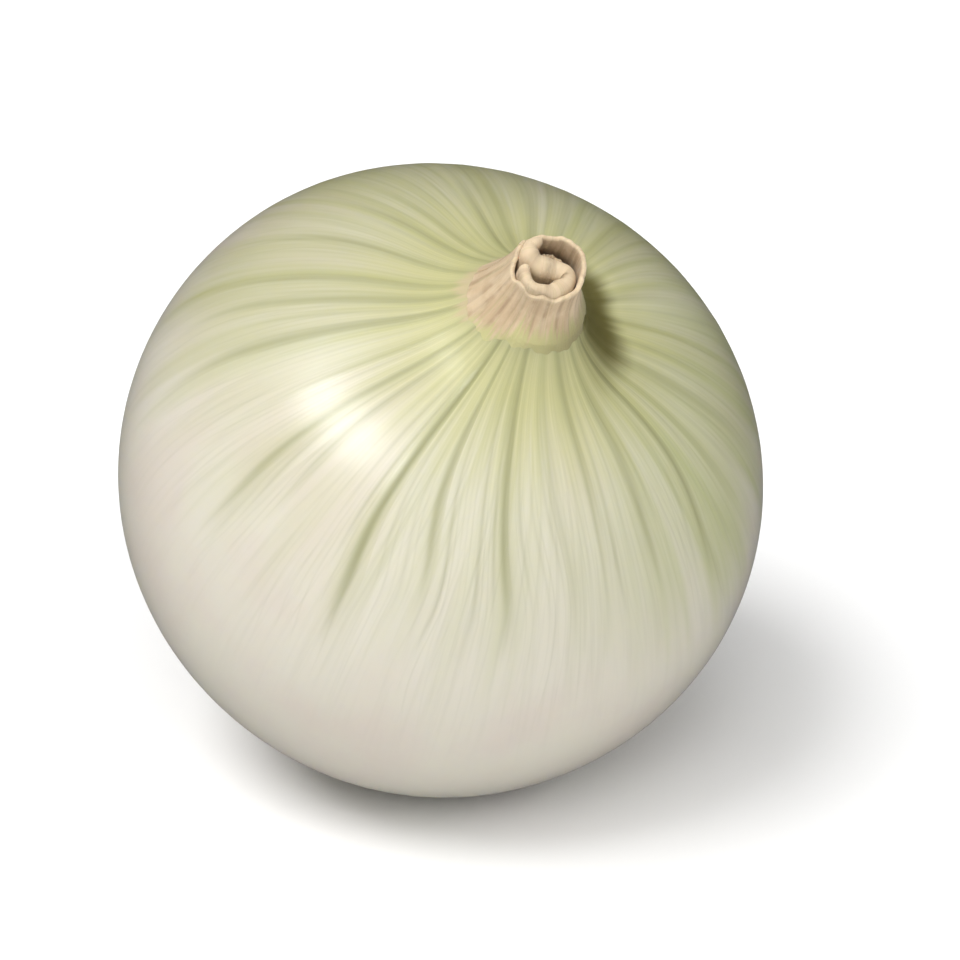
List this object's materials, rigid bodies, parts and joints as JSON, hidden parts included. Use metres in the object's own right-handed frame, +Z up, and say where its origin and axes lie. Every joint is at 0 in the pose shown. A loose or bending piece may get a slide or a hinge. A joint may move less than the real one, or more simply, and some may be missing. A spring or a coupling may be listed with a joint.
{
  "type": "onion",
  "caption": "Round white onion bulb with green-veined skin, a short cut neck of dried sheaths and trimmed roots, lying on its side.",
  "frame": {"origin": "centre of the small flat spot under the bulb, on the surface that the onion lies on", "axes": "+Z up from that surface; -Y towards the side that the neck leans to"},
  "size_m": [0.0837, 0.0815, 0.0818],
  "materials": {
    "skin": "pearly moist skin, glossy, white with green veins towards the neck",
    "neck": "dry papery sheaths, matt",
    "roots": "dry fibrous roots, matt"
  },
  "bodies": {
    "root": {"bulb": "skin", "neck": "neck", "roots": "roots"}
  },
  "joints": []
}
